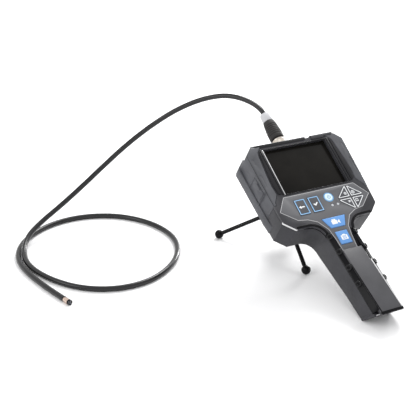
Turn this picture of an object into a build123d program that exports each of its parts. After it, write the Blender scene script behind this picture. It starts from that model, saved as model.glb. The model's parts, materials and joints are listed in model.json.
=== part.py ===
"""Inspection camera: a pistol-grip handset with a screen, a ball-head mini tripod and a probe cable.

Millimetres, +Z up, origin on the floor under the middle of the handset and its tripod.
The handset is built lying flat: x to its right, y towards the probe socket, z out of the screen,
with the origin at the middle of the screen window's bottom edge. It is then leaned back and placed.
"""
from build123d import *
import math
import os

os.makedirs("parts", exist_ok=True)

# ---- the pose of the handset and the tripod ----
LEAN = 33.14                             # degrees that the handset's back leans from level
HANDSET_AT = (-5.3, 10.6, 88.6)          # where the screen window's bottom edge stands
FOOT_RADIUS = 4.7
LEG_REACH = 68.0                         # from the tripod's axis to a foot's centre
LEG_AZIMUTHS = (139.6, -100.4, 19.6)     # degrees

# ---- handset ----
SCREEN_W, SCREEN_H = 71.0, 53.3
OPENING_TOP = 54.3                       # the front shell's opening shows a black margin over the screen
BODY_DEPTH = 33.0
SEAM = -3.0                              # underside of the front shell
GASKET = 0.6
WALL = 2.4
NECK_HALF = 16.0
NECK_RADIUS = 14.0
HEAD_OUTLINE = [(47.0, 61.2), (55.7, 51.9), (52.8, -29.0), (42.6, -38.8)]
NECK_TOP = -50.5                         # where the rear shell's walls rise beside the neck
COVER_TOP = -72.5                        # upper edge of the battery cover
BACK_LINE = [(61.2, -33.0), (-42.0, -33.0), (-110.0, -19.5)]
HANDLE_END = [(-138.0, -15.8), (-145.6, 7.0)]      # the end cap's outer face, back to front
END_CAP = 2.9
EDGE_TOP, EDGE_END = -0.6, 7.0           # height of the handle's side walls at the neck and the end
COVER_Z0, COVER_Z1 = 3.6, 13.2           # height of the battery cover's face at its two ends
COVER_END = -147.0
STRIP_INNER = 11.9
STRIP_SEAT = 1.6                         # how deep the grip strips sit on the side walls
STUD_YS = (-54.6, -73.2, -91.8, -110.4)
STUD_X, STUD_RADIUS = 14.3, 2.9
STRAP_SLOT_X = (-14.0, -8.0)
GUARD_INNER = [(37.0, 59.0), (42.4, 52.9), (43.4, 48.1), (45.5, 24.3), (46.0, 12.5), (45.0, 2.5), (46.7, -0.5),
               (50.8, -6.2), (50.8, -9.3)]
GUARD_OUTER = [(60.0, -9.3), (60.0, 59.0)]
PORT_Y, PORT_Z = (9.0, 29.6), (-21.0, -5.2)        # the opening over the sockets, on the left side
FLAP_GAP = 0.4
FLAP_HINGE_Z = PORT_Z[0] + FLAP_GAP
GUARD_SLOTS = [(39.0, 45.7), (12.4, 26.4)]

SCREW_SPOTS = [(-43.0, 47.0), (43.0, 47.0), (-43.0, -24.0), (43.0, -24.0), (0.0, -36.0)]
SCREW_RADIUS, SCREW_HEAD, SCREW_HEAD_DEEP, SCREW_LENGTH = 1.5, 2.8, 1.4, 12.0

# ---- keys: name, centre, half width, half height ----
KEY_TRAVEL = 0.5
KEY_FACE = 0.5
KEY_FOOT = -9.2
BOARD_TOP = -12.4
BOARD_THICK = 1.6
SOFT_KEYS = {"key_esc": (-26.1, -16.9, 5.7, 8.5), "key_ok": (-10.9, -16.9, 5.7, 8.5)}
POWER_AT, POWER_RADIUS = (6.3, -12.4), 4.2
PAD_AT, PAD_HALF_W, PAD_HALF_H, PAD_CLIP, PAD_GAP = (29.6, -17.5), 13.4, 12.9, 2.2, 0.9
RECORD_KEY = [(-13.0, -34.6), (13.0, -34.6), (8.0, -46.0), (-8.0, -46.0)]
PHOTO_KEY = [(-6.6, -50.8), (6.6, -50.8), (6.3, -65.0), (-6.3, -65.0)]
LED_SPOTS = [(6.0, -21.8), (12.4, -21.8)]
OVERLAY = [(40.2, -2.3), (51.0, -17.6), (37.0, -30.2), (27.0, -31.8), (18.2, -36.4), (11.3, -46.8),
           (9.5, -57.4), (8.2, -71.6)]
OVERLAY_THICK = 0.8

# ---- probe socket, plug and cable ----
SOCKET_X, SOCKET_Z = -3.5, -16.5
RING_FROM, RING_TO, RING_RADIUS = 63.6, 73.4, 6.4
PLUG_RADIUS, RING_BORE = 4.6, 4.66
RELIEF_FROM, RELIEF_TO = 74.0, 97.2
RELIEF_PROFILE = [(6.7, 0.0), (7.4, 1.2), (7.6, 6.0), (7.5, 9.0), (6.9, 17.0), (5.9, RELIEF_TO - RELIEF_FROM)]
LABEL_TO, LABEL_RADIUS = 107.0, 5.7
CABLE_DIA, CABLE_RUN_OUT = 5.5, 13.0     # the run out is straight on from the label
FLOOR_RUN = 2.75                         # height of the cable's centre where it lies on the floor

# ---- tripod ----
INSERT_AT = (-1.0, 36.3)                 # on the handset's back
BALL_DISTANCE = 22.0                     # from the handset's back to the ball's centre
BALL_RADIUS, BALL_GAP = 6.5, 0.2
LEG_PIVOT_RADIUS, LEG_PIVOT_HEIGHT = 10.0, 37.0
LEG_DIA, LEG_TONGUE, LEG_SLOT = 4.3, 4.6, 5.2
HUB_RADIUS = 13.6
HUB_FROM, HUB_TO = 31.0, 52.0


# ---- small helpers ----
def prism(points, low, high):
    """A closed outline in plan, raised from low to high."""
    face = Plane.XY.offset(low) * Polygon(*points, align=None)
    return extrude(face, amount=high - low, dir=(0, 0, 1))


def side_prism(points, half_width):
    """A closed outline in the Y-Z plane, as wide as the handset allows."""
    return extrude(Plane.YZ * Polygon(*points, align=None), amount=half_width, both=True)


def block(x0, x1, y0, y1, z0, z1):
    return Pos((x0 + x1) / 2, (y0 + y1) / 2, (z0 + z1) / 2) * Box(x1 - x0, y1 - y0, z1 - z0)


ON_BASE = (Align.CENTER, Align.CENTER, Align.MIN)


def rod(radius, start, end):
    """A round bar between two points."""
    a, b = Vector(*start), Vector(*end)
    line = b - a
    return Plane(origin=a, z_dir=line) * Cylinder(radius, line.length, align=ON_BASE)


def tube(outer, inner, start, end):
    return rod(outer, start, end) - rod(inner, start, end)


def mirrored(points):
    """The right half of an outline, top first, closed by its mirror image."""
    return points + [(-x, y) for x, y in reversed(points)]


def handset_outline(inset=0.0, neck_half=NECK_HALF):
    """The handset in plan: the eight-sided head, the two neck curves and the handle."""
    right = HEAD_OUTLINE + [(neck_half, HEAD_OUTLINE[-1][1]), (neck_half, -160.0)]
    face = Sketch() + Polygon(*mirrored(right), align=None)
    corners = [v for v in face.vertices() if abs(abs(v.X) - neck_half) < 0.01 and v.Y > -60]
    face = fillet(corners, NECK_RADIUS)
    return offset(face, amount=-inset, kind=Kind.INTERSECTION) if inset else face


def plan_solid(inset=0.0, low=-40.0, high=30.0):
    return extrude(Pos(0, 0, low) * handset_outline(inset), amount=high - low, dir=(0, 0, 1))


def on_line(p, q, y):
    return p[1] + (q[1] - p[1]) * (y - p[0]) / (q[0] - p[0])


def edge_height(y):
    return on_line((NECK_TOP, EDGE_TOP), (HANDLE_END[1][0], EDGE_END), y)


def wall_top(y):
    return edge_height(y) - STRIP_SEAT


def cover_height(y):
    return on_line((COVER_TOP, COVER_Z0), (COVER_END, COVER_Z1), y)


def end_point(z, inset=0.0):
    """The point of the handle's sloping end at a height, less what lies outside it."""
    (y0, z0), (y1, z1) = HANDLE_END
    return (y0 + (y1 - y0) * (z - z0) / (z1 - z0) + inset, z)


# ---- casing ----
def guard_zone(side, grow=0.0):
    """What a side guard may take up in plan: its front plate's inner edge, then everything outside it."""
    outline = Sketch() + Polygon(*[(side * x, y) for x, y in GUARD_INNER + GUARD_OUTER], align=None)
    outline = offset(outline, amount=grow, kind=Kind.INTERSECTION) if grow else outline
    return extrude(Pos(0, 0, -30) * outline, amount=35, dir=(0, 0, 1))


def side_guard(side):
    """A soft side guard: a skin round the head's side and a plate on its front, with two finger slots."""
    band = plan_solid(0.0, -25.0, 0.6) - plan_solid(2.0, -25.0, -1.6)
    body = band & guard_zone(side)
    front_edges = body.edges().filter_by(lambda e: e.center().Z > 0.55)
    body = chamfer(front_edges, 0.6)
    for y0, y1 in GUARD_SLOTS:
        body = body - block(*sorted((side * 50.9, side * 52.7)), y0, y1, -0.2, 2)
    return body


def port_window():
    """The opening in the left guard and the shell behind it, over the sockets."""
    return block(-58, -48, PORT_Y[0], PORT_Y[1], *PORT_Z)


def front_shell():
    head = plan_solid(0.0, SEAM, 0.0) & block(-60, 60, NECK_TOP, 62, -5, 5)
    neck = block(-11.2, 11.2, COVER_TOP + 0.3, NECK_TOP, SEAM, 0.0)
    lip = plan_solid(4.7, -6.0, SEAM) - plan_solid(6.2, -6.0, SEAM)
    lip = lip & block(-60, 60, -36.0, 62, -7, 0)
    shell = head + neck + lip
    shell = shell - block(-SCREEN_W / 2, SCREEN_W / 2, 0, OPENING_TOP, -10, 5)
    shell = shell - prism(mirrored(OVERLAY), -OVERLAY_THICK, 1.0)
    for cutter in key_holes(0.3):
        shell = shell - cutter
    shell = shell - block(15.5, 21.0, 59.4, 63, -5, 5)
    return shell - guard_room()


def guard_room():
    """What the two side guards take out of the shells."""
    room = plan_solid(-1.0, -25.2, 2.0) - plan_solid(2.1, -25.2, -1.7)
    return room & (guard_zone(1, 0.3) + guard_zone(-1, 0.3))


def rear_shell():
    top = SEAM - GASKET
    end = end_point(HANDLE_END[0][1], END_CAP)
    tip_y = end_point(EDGE_END - STRIP_SEAT, END_CAP)[0]
    tip = end_point(wall_top(tip_y), END_CAP)
    profile = BACK_LINE + [end, tip, (NECK_TOP, wall_top(NECK_TOP)), (NECK_TOP, top), (61.2, top)]
    body = plan_solid() & side_prism(profile, 60)
    back_edges = body.edges().filter_by(lambda e: e.center().Z < -32.9 and e.center().Y > -60)
    body = chamfer(back_edges, 1.6)
    body = body - (plan_solid(2.0 + WALL, -BODY_DEPTH + WALL, 10) & block(-60, 60, -44, 62, -40, 10))
    bay = [(-43, 12), (-43, -28.6), (-109.0, -16.6), end_point(-13.4, END_CAP + WALL),
           end_point(12, END_CAP + WALL)]
    body = body - side_prism(bay, 11.4)
    body = body - guard_room() - port_window()
    body = body - rod(5.4, (SOCKET_X, 50, SOCKET_Z), (SOCKET_X, 70, SOCKET_Z))
    body = body - rod(5.0, (*INSERT_AT, -BODY_DEPTH - 1), (*INSERT_AT, -BODY_DEPTH + 10))
    for x, y in SCREW_SPOTS:
        body = body - rod(SCREW_RADIUS + 0.1, (x, y, -34), (x, y, -28))
        body = body - rod(SCREW_HEAD + 0.2, (x, y, -34), (x, y, -BODY_DEPTH + SCREW_HEAD_DEEP + 0.4))
    return body


def case_screws():
    """Five pan-head screws in counterbored holes, each with a cross recess."""
    screws = []
    for x, y in SCREW_SPOTS:
        head_top = -BODY_DEPTH + 0.4
        screw = rod(SCREW_HEAD, (x, y, head_top), (x, y, head_top + SCREW_HEAD_DEEP))
        screw = screw + rod(SCREW_RADIUS, (x, y, head_top), (x, y, head_top + SCREW_LENGTH))
        cross = Box(3.4, 0.7, 1.6) + Box(0.7, 3.4, 1.6)
        screws.append(screw - Pos(x, y, head_top) * cross)
    return screws


def shell_gasket():
    ring = plan_solid(2.6, SEAM - GASKET, SEAM) - plan_solid(3.8, SEAM - GASKET, SEAM)
    return ring & block(-60, 60, NECK_TOP, 62, -10, 0)


def battery_cover():
    """The raised cover on the handle's front: it slides off towards the handle's end."""
    skin = [(COVER_TOP, COVER_Z0), (COVER_END, COVER_Z1), (COVER_END + 0.6, edge_height(-146) + 1.2),
            (COVER_TOP, 0.6)]
    body = side_prism(skin, STRIP_INNER - 0.3)
    hollow = [(COVER_TOP - 2, COVER_Z0 - 1.9), (COVER_END + 3.0, COVER_Z1 - 2.2), (COVER_END + 3.0, -5.0),
              (COVER_TOP - 2, -5.0)]
    body = body - side_prism(hollow, STRIP_INNER - 2.2)
    rims = body.edges().filter_by(lambda e: abs(abs(e.center().X) - STRIP_INNER + 0.3) < 0.02 and e.length > 60)
    top_rims = [e for e in rims if e.center().Z > 6.5]
    return chamfer(top_rims, 1.0)


def end_cap():
    low, top = HANDLE_END[0][1], EDGE_END - 0.2
    body = side_prism([end_point(low), end_point(top), end_point(top, END_CAP), end_point(low, END_CAP)], NECK_HALF)
    return body - block(*STRAP_SLOT_X, -160, -130, 1.4, 20)


def strap_pin():
    y, z = end_point(4.4, END_CAP / 2)
    return rod(1.0, (STRAP_SLOT_X[0], y, z), (STRAP_SLOT_X[1], y, z))


def strip_section(y, side, raised):
    """The grip strip's section: from the side wall's edge up to the neck's face or the cover's edge."""
    edge = edge_height(y)
    crown = max(edge, cover_height(y) - 0.5) if raised else edge + 0.5
    outer, inner, seat = side * NECK_HALF, side * STRIP_INNER, edge - STRIP_SEAT + 0.02
    return Plane.XZ.offset(-y) * Polygon((outer, edge), (inner, crown), (inner, seat), (outer, seat), align=None)


def grip_strip(side):
    """A soft strip along the handle's front edge, with four round studs moulded on it."""
    low_end = end_point(EDGE_END, END_CAP)[0] + 0.9
    neck = loft([strip_section(NECK_TOP - 0.1, side, False), strip_section(COVER_TOP, side, False)], ruled=True)
    grip = loft([strip_section(COVER_TOP, side, True), strip_section(low_end, side, True)], ruled=True)
    body = neck + grip
    for y in STUD_YS:
        crown = edge_height(y) + (0.4 if y > COVER_TOP else 1.0)
        body = body + Pos(side * STUD_X, y, crown) * Rot(0, side * 35, 0) * Cylinder(STUD_RADIUS, 3.0)
    above = side_prism([(-40, wall_top(-40) + 0.02), (-150, wall_top(-150) + 0.02), (-150, 30), (-40, 30)], 30)
    return (body & above) - block(-STRIP_INNER, STRIP_INNER, -160, -40, -20, 30)


# ---- screen, keypad and electronics ----
def screen_window():
    return block(-37.5, 37.5, -1.5, SCREEN_H + 1.5, SEAM - 1.5, SEAM)


def lcd_module():
    return block(-38.5, 38.5, -1.9, SCREEN_H + 1.4, SEAM - 5.6, SEAM - 1.7)


def pad_triangle(sx, sy, shrink=0.0):
    """One quarter of the clipped diamond."""
    cx, cy = PAD_AT
    gap = PAD_GAP + shrink
    w, h, clip = PAD_HALF_W - shrink * 1.4, PAD_HALF_H - shrink * 1.4, PAD_CLIP
    return [(cx + sx * gap, cy + sy * gap), (cx + sx * w, cy + sy * gap), (cx + sx * w, cy + sy * clip),
            (cx + sx * clip, cy + sy * h), (cx + sx * gap, cy + sy * h)]


def grown(points, amount):
    if not amount:
        return Sketch() + Polygon(*points, align=None)
    return offset(Sketch() + Polygon(*points, align=None), amount=amount, kind=Kind.INTERSECTION)


def key_outlines():
    """Every key's outline in plan, by its node's name."""
    shapes = {}
    for name, (cx, cy, w, h) in SOFT_KEYS.items():
        shapes[name] = [(cx - w, cy - h), (cx + w, cy - h), (cx + w, cy + h), (cx - w, cy + h)]
    for name, sx, sy in (("key_upper_left", -1, 1), ("key_upper_right", 1, 1), ("key_lower_left", -1, -1),
                         ("key_lower_right", 1, -1)):
        shapes[name] = pad_triangle(sx, sy)
    shapes["key_record"] = RECORD_KEY
    shapes["key_photo"] = PHOTO_KEY
    return shapes


def key_holes(gap):
    """Cutters for the overlay and the front shell, larger than the keys all round."""
    for points in key_outlines().values():
        yield extrude(Pos(0, 0, -8) * grown(points, gap), amount=12, dir=(0, 0, 1))
    yield Pos(*POWER_AT, -2) * Cylinder(POWER_RADIUS + gap, 12)
    for x, y in LED_SPOTS:
        yield Pos(x, y, -2) * Cylinder(1.5, 12)


def key_centre(points):
    return sum(p[0] for p in points) / len(points), sum(p[1] for p in points) / len(points)


def key(points):
    cap = extrude(Pos(0, 0, -2.4) * grown(points, 0), amount=2.4 + KEY_FACE, dir=(0, 0, 1))
    cap = chamfer(cap.faces().sort_by(Axis.Z)[-1].edges(), 0.35)
    x, y = key_centre(points)
    return cap + Pos(x, y, (KEY_FOOT - 2.4) / 2) * Cylinder(1.3, -KEY_FOOT - 2.4)


def power_key():
    x, y = POWER_AT
    cap = Pos(x, y, (KEY_FACE - 2.4) / 2) * Cylinder(POWER_RADIUS, 2.4 + KEY_FACE)
    cap = chamfer(cap.faces().sort_by(Axis.Z)[-1].edges(), 0.35)
    return cap + Pos(x, y, (KEY_FOOT - 2.4) / 2) * Cylinder(1.3, -KEY_FOOT - 2.4)


def switch_spots():
    return [key_centre(points) for points in key_outlines().values()] + [POWER_AT]


def key_switches():
    height = KEY_FOOT - KEY_TRAVEL - 0.1 - BOARD_TOP
    return [Pos(x, y, BOARD_TOP + height / 2) * Box(5.2, 5.2, height) for x, y in switch_spots()]


def keypad_overlay():
    sheet = prism(mirrored(OVERLAY), -OVERLAY_THICK, 0.0)
    low = [v for v in sheet.edges().filter_by(Axis.Z) if v.center().Y < -71]
    sheet = fillet(low, 2.0)
    for cutter in key_holes(0.3):
        sheet = sheet - cutter
    return sheet


def status_leds():
    return [Pos(x, y, -2.0) * Cylinder(1.3, 4.0) for x, y in LED_SPOTS]


def main_board():
    board = prism([(44, 50), (44, -28), (36, -33.5), (10.5, -33.5), (10.5, -62.5), (-10.5, -62.5), (-10.5, -33.5),
                   (-36, -33.5), (-44, -28), (-44, 50)], BOARD_TOP - BOARD_THICK, BOARD_TOP)
    return board


def battery_cell():
    return rod(9.2, (0, -66.0, -13.6), (0, -130.2, -3.6))


def battery_contacts():
    """The two sprung contact plates at the ends of the cell."""
    upper = side_prism([(-66.5, -21.0), (-64.3, -6.0), (-63.7, -6.0), (-65.9, -21.0)], 8)
    lower = side_prism([(-132.5, -10.0), (-130.1, 5.0), (-129.5, 5.0), (-131.9, -10.0)], 8)
    return [upper, lower]


def port_flap():
    """The rubber door over the sockets, with a finger tab at its front edge."""
    x = -head_side(sum(PORT_Y) / 2)
    door = block(x - 0.3, x + 1.6, PORT_Y[0] + FLAP_GAP, PORT_Y[1] - FLAP_GAP, FLAP_HINGE_Z, PORT_Z[1] - FLAP_GAP)
    return door + block(x - 1.2, x + 1.0, 15.0, 23.0, -8.0, -6.4)


def head_side(y):
    return on_line((51.9, 55.7), (-29.0, 52.8), y)


def usb_socket():
    return block(-50.2, -43.0, 10.6, 17.8, -18.1, -14.1)


def card_socket():
    return block(-50.2, -36.0, 19.0, 28.4, -16.6, -14.1)


# ---- probe plug ----
def probe_socket():
    axis = lambda y: (SOCKET_X, y, SOCKET_Z)
    nose = rod(PLUG_RADIUS, axis(52.0), axis(68.0))
    flange = rod(8.2, axis(61.2), axis(63.2))
    barrel = rod(5.2, axis(53.0), axis(61.2))
    return nose + flange + barrel - rod(3.4, axis(58.0), axis(68.5))


def socket_nut():
    axis = lambda y: (SOCKET_X, y, SOCKET_Z)
    hexagon = Plane(origin=axis(54.0), z_dir=(0, 1, 0)) * extrude(RegularPolygon(7.3, 6), 2.6)
    return hexagon - rod(5.3, axis(50), axis(60))


def probe_plug():
    axis = lambda y: (SOCKET_X, y, SOCKET_Z)
    pin = rod(3.2, axis(58.6), axis(68.0))
    return pin + rod(PLUG_RADIUS, axis(68.2), axis(RELIEF_FROM)) + rod(3.2, axis(68.0), axis(68.2))


def coupling_ring():
    axis = lambda y: (SOCKET_X, y, SOCKET_Z)
    ring = tube(RING_RADIUS, RING_BORE, axis(RING_FROM), axis(RING_TO))
    return ring - tube(7.0, RING_RADIUS - 0.6, axis(71.4), axis(72.0))


def strain_relief():
    """A moulded boot, round-shouldered over the coupling ring and tapering to the label."""
    outline = [(0, 0)] + RELIEF_PROFILE + [(0, RELIEF_TO - RELIEF_FROM)]
    boot = revolve(Sketch() + Polygon(*outline, align=None), axis=Axis.Y)
    return Pos(SOCKET_X, RELIEF_FROM, SOCKET_Z) * boot


def cable_label():
    return rod(LABEL_RADIUS, (SOCKET_X, RELIEF_TO, SOCKET_Z), (SOCKET_X, LABEL_TO, SOCKET_Z))


# ---- placing ----
def placed(shape):
    """Lean a handset piece back and stand it where it belongs."""
    return Pos(*HANDSET_AT) * Rot(LEAN, 0, 0) * shape


def place_point(point):
    x, y, z = point
    c, s = math.cos(math.radians(LEAN)), math.sin(math.radians(LEAN))
    return (x + HANDSET_AT[0], y * c - z * s + HANDSET_AT[1], y * s + z * c + HANDSET_AT[2])


BALL_CENTRE = place_point((*INSERT_AT, -BODY_DEPTH - BALL_DISTANCE))
STEM_AXIS = tuple(a - b for a, b in zip(place_point((0, 0, 1)), place_point((0, 0, 0))))


# ---- tripod ----
def stem_point(distance):
    return tuple(c + a * distance for c, a in zip(BALL_CENTRE, STEM_AXIS))


def tripod_insert():
    """The brass threaded bush in the handset's back, in the handset's own frame."""
    axis = lambda z: (*INSERT_AT, z)
    return tube(5.0, 3.26, axis(-BODY_DEPTH + 0.1), axis(-BODY_DEPTH + 7.0))


def tripod_screw():
    return rod(3.2, stem_point(15.0), stem_point(BALL_DISTANCE + 5.5))


def tripod_platform():
    """Ball, neck and the knurled thumb plate in one piece."""
    ball = Pos(*BALL_CENTRE) * Sphere(BALL_RADIUS)
    neck = rod(2.7, stem_point(3.0), stem_point(15.0))
    plate = rod(11.0, stem_point(14.5), stem_point(20.3))
    return ball + neck + plate - rod(3.2, stem_point(15.0), stem_point(25.0))


def tripod_pad():
    return tube(10.0, 3.5, stem_point(20.3), stem_point(BALL_DISTANCE - 0.2))


def hub_point(radius, azimuth, height):
    a = math.radians(azimuth)
    return (BALL_CENTRE[0] + radius * math.cos(a), BALL_CENTRE[1] + radius * math.sin(a), height)


def on_axis(height):
    return (BALL_CENTRE[0], BALL_CENTRE[1], height)


def tripod_hub():
    """The lower body: three slots for the legs below, the ball's cup above."""
    cup_top = BALL_CENTRE[2] - 0.5
    body = rod(HUB_RADIUS, on_axis(HUB_FROM), on_axis(HUB_TO)) + rod(8.6, on_axis(HUB_TO), on_axis(cup_top))
    body = body - Pos(*BALL_CENTRE) * Sphere(BALL_RADIUS + BALL_GAP)
    for azimuth in LEG_AZIMUTHS:
        slot = block(5.2, 20.0, -LEG_SLOT / 2, LEG_SLOT / 2, HUB_FROM - 1, LEG_PIVOT_HEIGHT + 4.6)
        body = body - Pos(BALL_CENTRE[0], BALL_CENTRE[1], 0) * Rot(0, 0, azimuth) * slot
        body = body - leg_pin(azimuth, 1.3)
    return body


def tripod_collar():
    """The lock ring: it screws over the hub's neck and closes on the ball."""
    low, high = HUB_TO + 1.0, BALL_CENTRE[2] + 3.4
    ring = rod(11.4, on_axis(low), on_axis(high)) - rod(8.66, on_axis(low - 1), on_axis(BALL_CENTRE[2]))
    ring = ring - Pos(*BALL_CENTRE) * Sphere(BALL_RADIUS + BALL_GAP)
    mouth = Plane(origin=BALL_CENTRE) * Cone(0.01, 16.0, 8.0, align=ON_BASE)
    return ring - mouth


def leg_pin(azimuth, radius):
    a = math.radians(azimuth)
    x, y, z = hub_point(LEG_PIVOT_RADIUS, azimuth, LEG_PIVOT_HEIGHT)
    dx, dy = -math.sin(a) * 5.0, math.cos(a) * 5.0
    return rod(radius, (x - dx, y - dy, z), (x + dx, y + dy, z))


def leg(azimuth):
    pivot = hub_point(LEG_PIVOT_RADIUS, azimuth, LEG_PIVOT_HEIGHT)
    foot = hub_point(LEG_REACH, azimuth, FOOT_RADIUS)
    a = math.radians(azimuth)
    side = Vector(-math.sin(a), math.cos(a), 0) * (LEG_TONGUE / 2)
    centre = Vector(*pivot)
    knuckle = rod(3.8, tuple(centre - side), tuple(centre + side))
    shaft = rod(LEG_DIA / 2, pivot, foot)
    return knuckle + shaft - leg_pin(azimuth, 1.36) - Pos(*foot) * Sphere(FOOT_RADIUS - 0.9)


def foot(azimuth):
    centre = hub_point(LEG_REACH, azimuth, FOOT_RADIUS)
    return Pos(*centre) * Sphere(FOOT_RADIUS) - leg_in_foot(azimuth)


def leg_in_foot(azimuth):
    """The leg's last stretch, which the rubber foot is pushed over."""
    pivot = hub_point(LEG_PIVOT_RADIUS, azimuth, LEG_PIVOT_HEIGHT)
    end = hub_point(LEG_REACH, azimuth, FOOT_RADIUS)
    ball = Pos(*end) * Sphere(FOOT_RADIUS - 0.9)
    return rod(LEG_DIA / 2, pivot, end) - ball


# ---- probe cable ----
CABLE_EXIT = place_point((SOCKET_X, LABEL_TO, SOCKET_Z))
CABLE_LEAD = place_point((SOCKET_X, LABEL_TO + CABLE_RUN_OUT, SOCKET_Z))
ROUTE = [
    CABLE_EXIT, CABLE_LEAD,
    (-25.0, 152.0, 145.5), (-45.5, 176.0, 137.5), (-69.5, 194.0, 123.0), (-95.5, 206.5, 104.0),
    (-122.0, 213.5, 84.0), (-148.5, 216.5, 63.0), (-175.0, 215.5, 44.0), (-201.5, 211.5, 28.5),
    (-226.5, 204.0, 18.0), (-247.0, 191.0, 10.5),
    (-259.0, 168.0, FLOOR_RUN), (-261.0, 137.0, FLOOR_RUN), (-250.0, 103.0, FLOOR_RUN), (-230.0, 74.0, FLOOR_RUN),
    (-200.0, 57.0, FLOOR_RUN), (-166.0, 57.0, FLOOR_RUN), (-136.0, 73.5, FLOOR_RUN), (-114.0, 99.0, FLOOR_RUN),
    (-102.5, 131.0, FLOOR_RUN), (-105.0, 163.0, FLOOR_RUN), (-118.0, 192.5, FLOOR_RUN), (-140.0, 215.5, FLOOR_RUN),
    (-171.0, 228.0, FLOOR_RUN), (-204.0, 227.0, FLOOR_RUN), (-234.0, 212.0, FLOOR_RUN), (-256.0, 189.0, FLOOR_RUN),
    (-267.5, 160.0, FLOOR_RUN), (-267.0, 130.0, FLOOR_RUN), (-262.0, 102.0, FLOOR_RUN), (-256.5, 79.0, FLOOR_RUN),
    (-252.0, 62.5, FLOOR_RUN),
]
HEAD_LENGTH, HEAD_GROOVE = 9.5, 0.9
LENS_RADIUS, LED_RING, LED_RADIUS, TIP_RECESS = 1.1, 1.75, 0.42, 0.8


def arc_radii(points):
    """Each corner's radius: 0.45 of its shorter run over the tangent of half its turn."""
    radii = []
    for before, here, after in zip(points, points[1:], points[2:]):
        first, second = Vector(*here) - Vector(*before), Vector(*after) - Vector(*here)
        half_turn = math.radians(first.get_angle(second)) / 2
        radii.append(0.45 * min(first.length, second.length) / math.tan(half_turn))
    return radii


def probe_cable():
    radii = arc_radii(ROUTE)
    path = FilletPolyline(*ROUTE, radius=radii)
    start = Plane(origin=ROUTE[0], z_dir=Vector(*ROUTE[1]) - Vector(*ROUTE[0]))
    body = sweep(start * Circle(CABLE_DIA / 2), path=path)
    section = math.pi * (CABLE_DIA / 2) ** 2
    print("cable arc radii", [round(r) for r in radii])
    print("cable length", round(path.length, 1), "volume", round(body.volume), "of", round(section * path.length))
    return body


TIP_AXIS = (Vector(*ROUTE[-1]) - Vector(*ROUTE[-2])).normalized()
TIP_END = Vector(*ROUTE[-1]) + TIP_AXIS * HEAD_LENGTH


def camera_head():
    """The metal barrel on the cable's end, with a swaged groove behind it and a recess at its tip."""
    shoulder = tuple(Vector(*ROUTE[-1]) + TIP_AXIS * HEAD_GROOVE)
    barrel = rod(CABLE_DIA / 2 - 0.4, ROUTE[-1], shoulder) + rod(CABLE_DIA / 2, shoulder, tuple(TIP_END))
    return barrel - rod(CABLE_DIA / 2 - 0.4, tuple(TIP_END - TIP_AXIS * TIP_RECESS), tuple(TIP_END + TIP_AXIS))


def tip_disc(radius, thick, aside=(0.0, 0.0)):
    floor = Plane(origin=TIP_END - TIP_AXIS * TIP_RECESS, z_dir=TIP_AXIS)
    return floor * Pos(*aside, 0) * Cylinder(radius, thick, align=ON_BASE)


def tip_leds():
    """Four small lights round the lens."""
    angles = [math.radians(45 + 90 * i) for i in range(4)]
    return [tip_disc(LED_RADIUS, 0.4, (LED_RING * math.cos(a), LED_RING * math.sin(a))) for a in angles]


def main():
    nodes = {
        "front_shell": front_shell(), "rear_shell": rear_shell(), "shell_gasket": shell_gasket(),
        "case_screws": case_screws(), "left_guard": side_guard(-1) - port_window(), "right_guard": side_guard(1),
        "battery_cover": battery_cover(), "handle_end_cap": end_cap(), "strap_pin": strap_pin(),
        "left_grip_strip": grip_strip(-1), "right_grip_strip": grip_strip(1),
        "screen_window": screen_window(), "lcd_module": lcd_module(), "keypad_overlay": keypad_overlay(),
        "status_leds": status_leds(), "main_board": main_board(), "key_switches": key_switches(),
        "battery_cell": battery_cell(), "battery_contacts": battery_contacts(), "port_flap": port_flap(),
        "usb_socket": usb_socket(), "card_socket": card_socket(), "probe_socket": probe_socket(),
        "socket_nut": socket_nut(), "probe_plug": probe_plug(), "coupling_ring": coupling_ring(),
        "strain_relief": strain_relief(), "cable_label": cable_label(), "tripod_insert": tripod_insert(),
        "key_power": power_key(),
    }
    for name, points in key_outlines().items():
        nodes[name] = key(points)
    nodes = {name: placed(Compound(children=s) if isinstance(s, list) else s) for name, s in nodes.items()}
    nodes.update({
        "tripod_screw": tripod_screw(), "tripod_platform": tripod_platform(), "tripod_pad": tripod_pad(),
        "tripod_hub": tripod_hub(), "tripod_collar": tripod_collar(),
        "leg_pins": Compound(children=[leg_pin(a, 1.3) for a in LEG_AZIMUTHS]),
        "probe_cable": probe_cable(), "camera_head": camera_head(), "camera_lens": tip_disc(LENS_RADIUS, 0.6),
        "tip_leds": Compound(children=tip_leds()),
    })
    for number, azimuth in enumerate(LEG_AZIMUTHS, 1):
        nodes[f"leg_{number}"] = leg(azimuth)
        nodes[f"foot_{number}"] = foot(azimuth)
    for name, shape in nodes.items():
        export_step(shape, f"parts/{name}.step")
    print(len(nodes), "nodes; cable leaves at", [round(v, 2) for v in CABLE_EXIT])


main()
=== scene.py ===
# %% [markdown]
# # Inspection camera
# The object is a pistol-grip handset with a screen and a keypad, a mini tripod behind it and one metre of
# stiff probe cable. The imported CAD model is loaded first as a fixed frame: it says where every piece sits.
# All lengths below are in metres unless a name ends in _MM.

# %% Load the frame
import json
import math

import bpy
from mathutils import Matrix, Vector


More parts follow.
